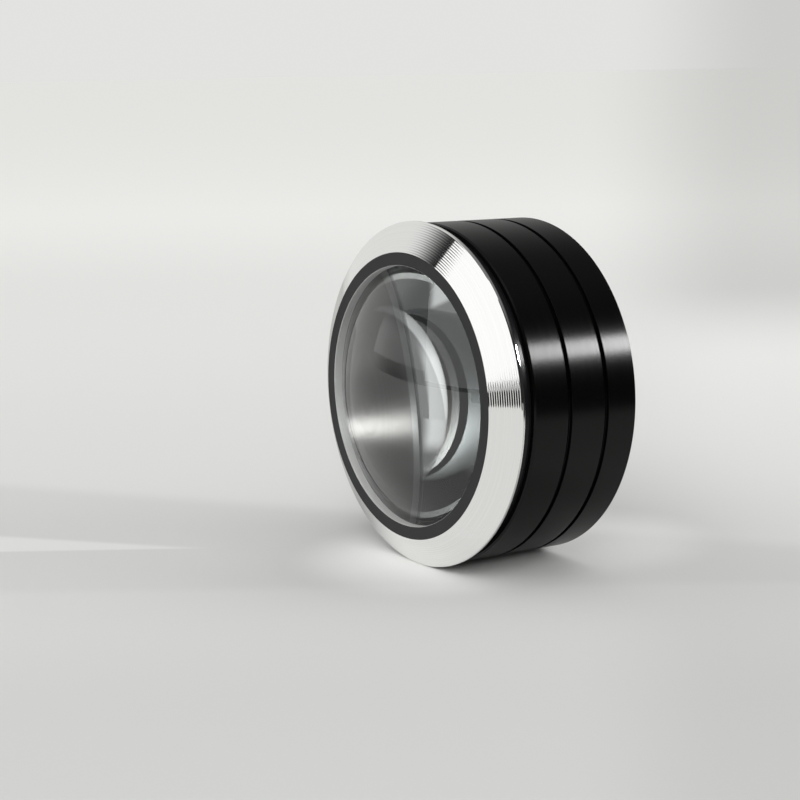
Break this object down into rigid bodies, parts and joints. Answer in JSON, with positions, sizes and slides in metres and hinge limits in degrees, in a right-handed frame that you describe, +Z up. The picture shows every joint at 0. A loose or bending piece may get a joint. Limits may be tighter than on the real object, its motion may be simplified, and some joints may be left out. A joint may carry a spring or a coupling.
{
  "type": "illuminated stand magnifier",
  "caption": "Short round stand magnifier with a thick biconvex lens in a conical touch bezel, a black grooved barrel and a built-in LED light.",
  "frame": {"origin": "centre of the base, on the surface that the magnifier stands on", "axes": "+Z up along the lens axis, +X towards the battery door in the base"},
  "size_m": [0.081, 0.081, 0.0433],
  "materials": {
    "anodised_black": "black anodised, satin, finely turned",
    "anodised_dark": "dark anodised, finely turned",
    "bright_aluminium": "turned and polished, clear anodised",
    "matt_black_metal": "matt black",
    "lens_glass": "polished optical glass",
    "rubber_black": "matt",
    "gloss_black_plastic": "glossy moulded",
    "black_plastic": "fine moulded grain",
    "frosted_acrylic": "clear acrylic with a frosted inner face",
    "board_green": "solder mask over glass fibre",
    "led_white": "white package with a yellow phosphor window",
    "component_black": "moulded package",
    "nickel_strip": "nickel plated spring steel",
    "cell_steel": "bright nickel plated can",
    "brass": "turned",
    "screw_black": "black oxide"
  },
  "bodies": {
    "root": {"barrel": "anodised_black", "inner_sleeve": "anodised_dark", "bezel": "bright_aluminium", "retaining_ring": "matt_black_metal", "lens": "lens_glass", "lens_gasket": "rubber_black", "insulating_ring": "gloss_black_plastic", "base_ring": "black_plastic", "battery_door": "black_plastic", "battery_holder": "black_plastic", "light_shield": "black_plastic", "light_ring": "frosted_acrylic", "led_board": "board_green", "led_1": "led_white", "led_2": "led_white", "led_3": "led_white", "led_4": "led_white", "led_5": "led_white", "led_6": "led_white", "resistor_1": "component_black", "resistor_2": "component_black", "resistor_3": "component_black", "resistor_4": "component_black", "resistor_5": "component_black", "resistor_6": "component_black", "touch_chip": "component_black", "led_driver": "component_black", "touch_contact": "nickel_strip", "body_contact": "nickel_strip", "link_inner": "nickel_strip", "link_outer": "nickel_strip", "contact_plus": "nickel_strip", "contact_minus": "nickel_strip", "cell_1": "cell_steel", "cell_2": "cell_steel", "cell_3": "cell_steel", "pillar_1": "brass", "pillar_2": "brass", "pillar_3": "brass", "base_screws": "screw_black", "door_screw": "screw_black"}
  },
  "joints": []
}
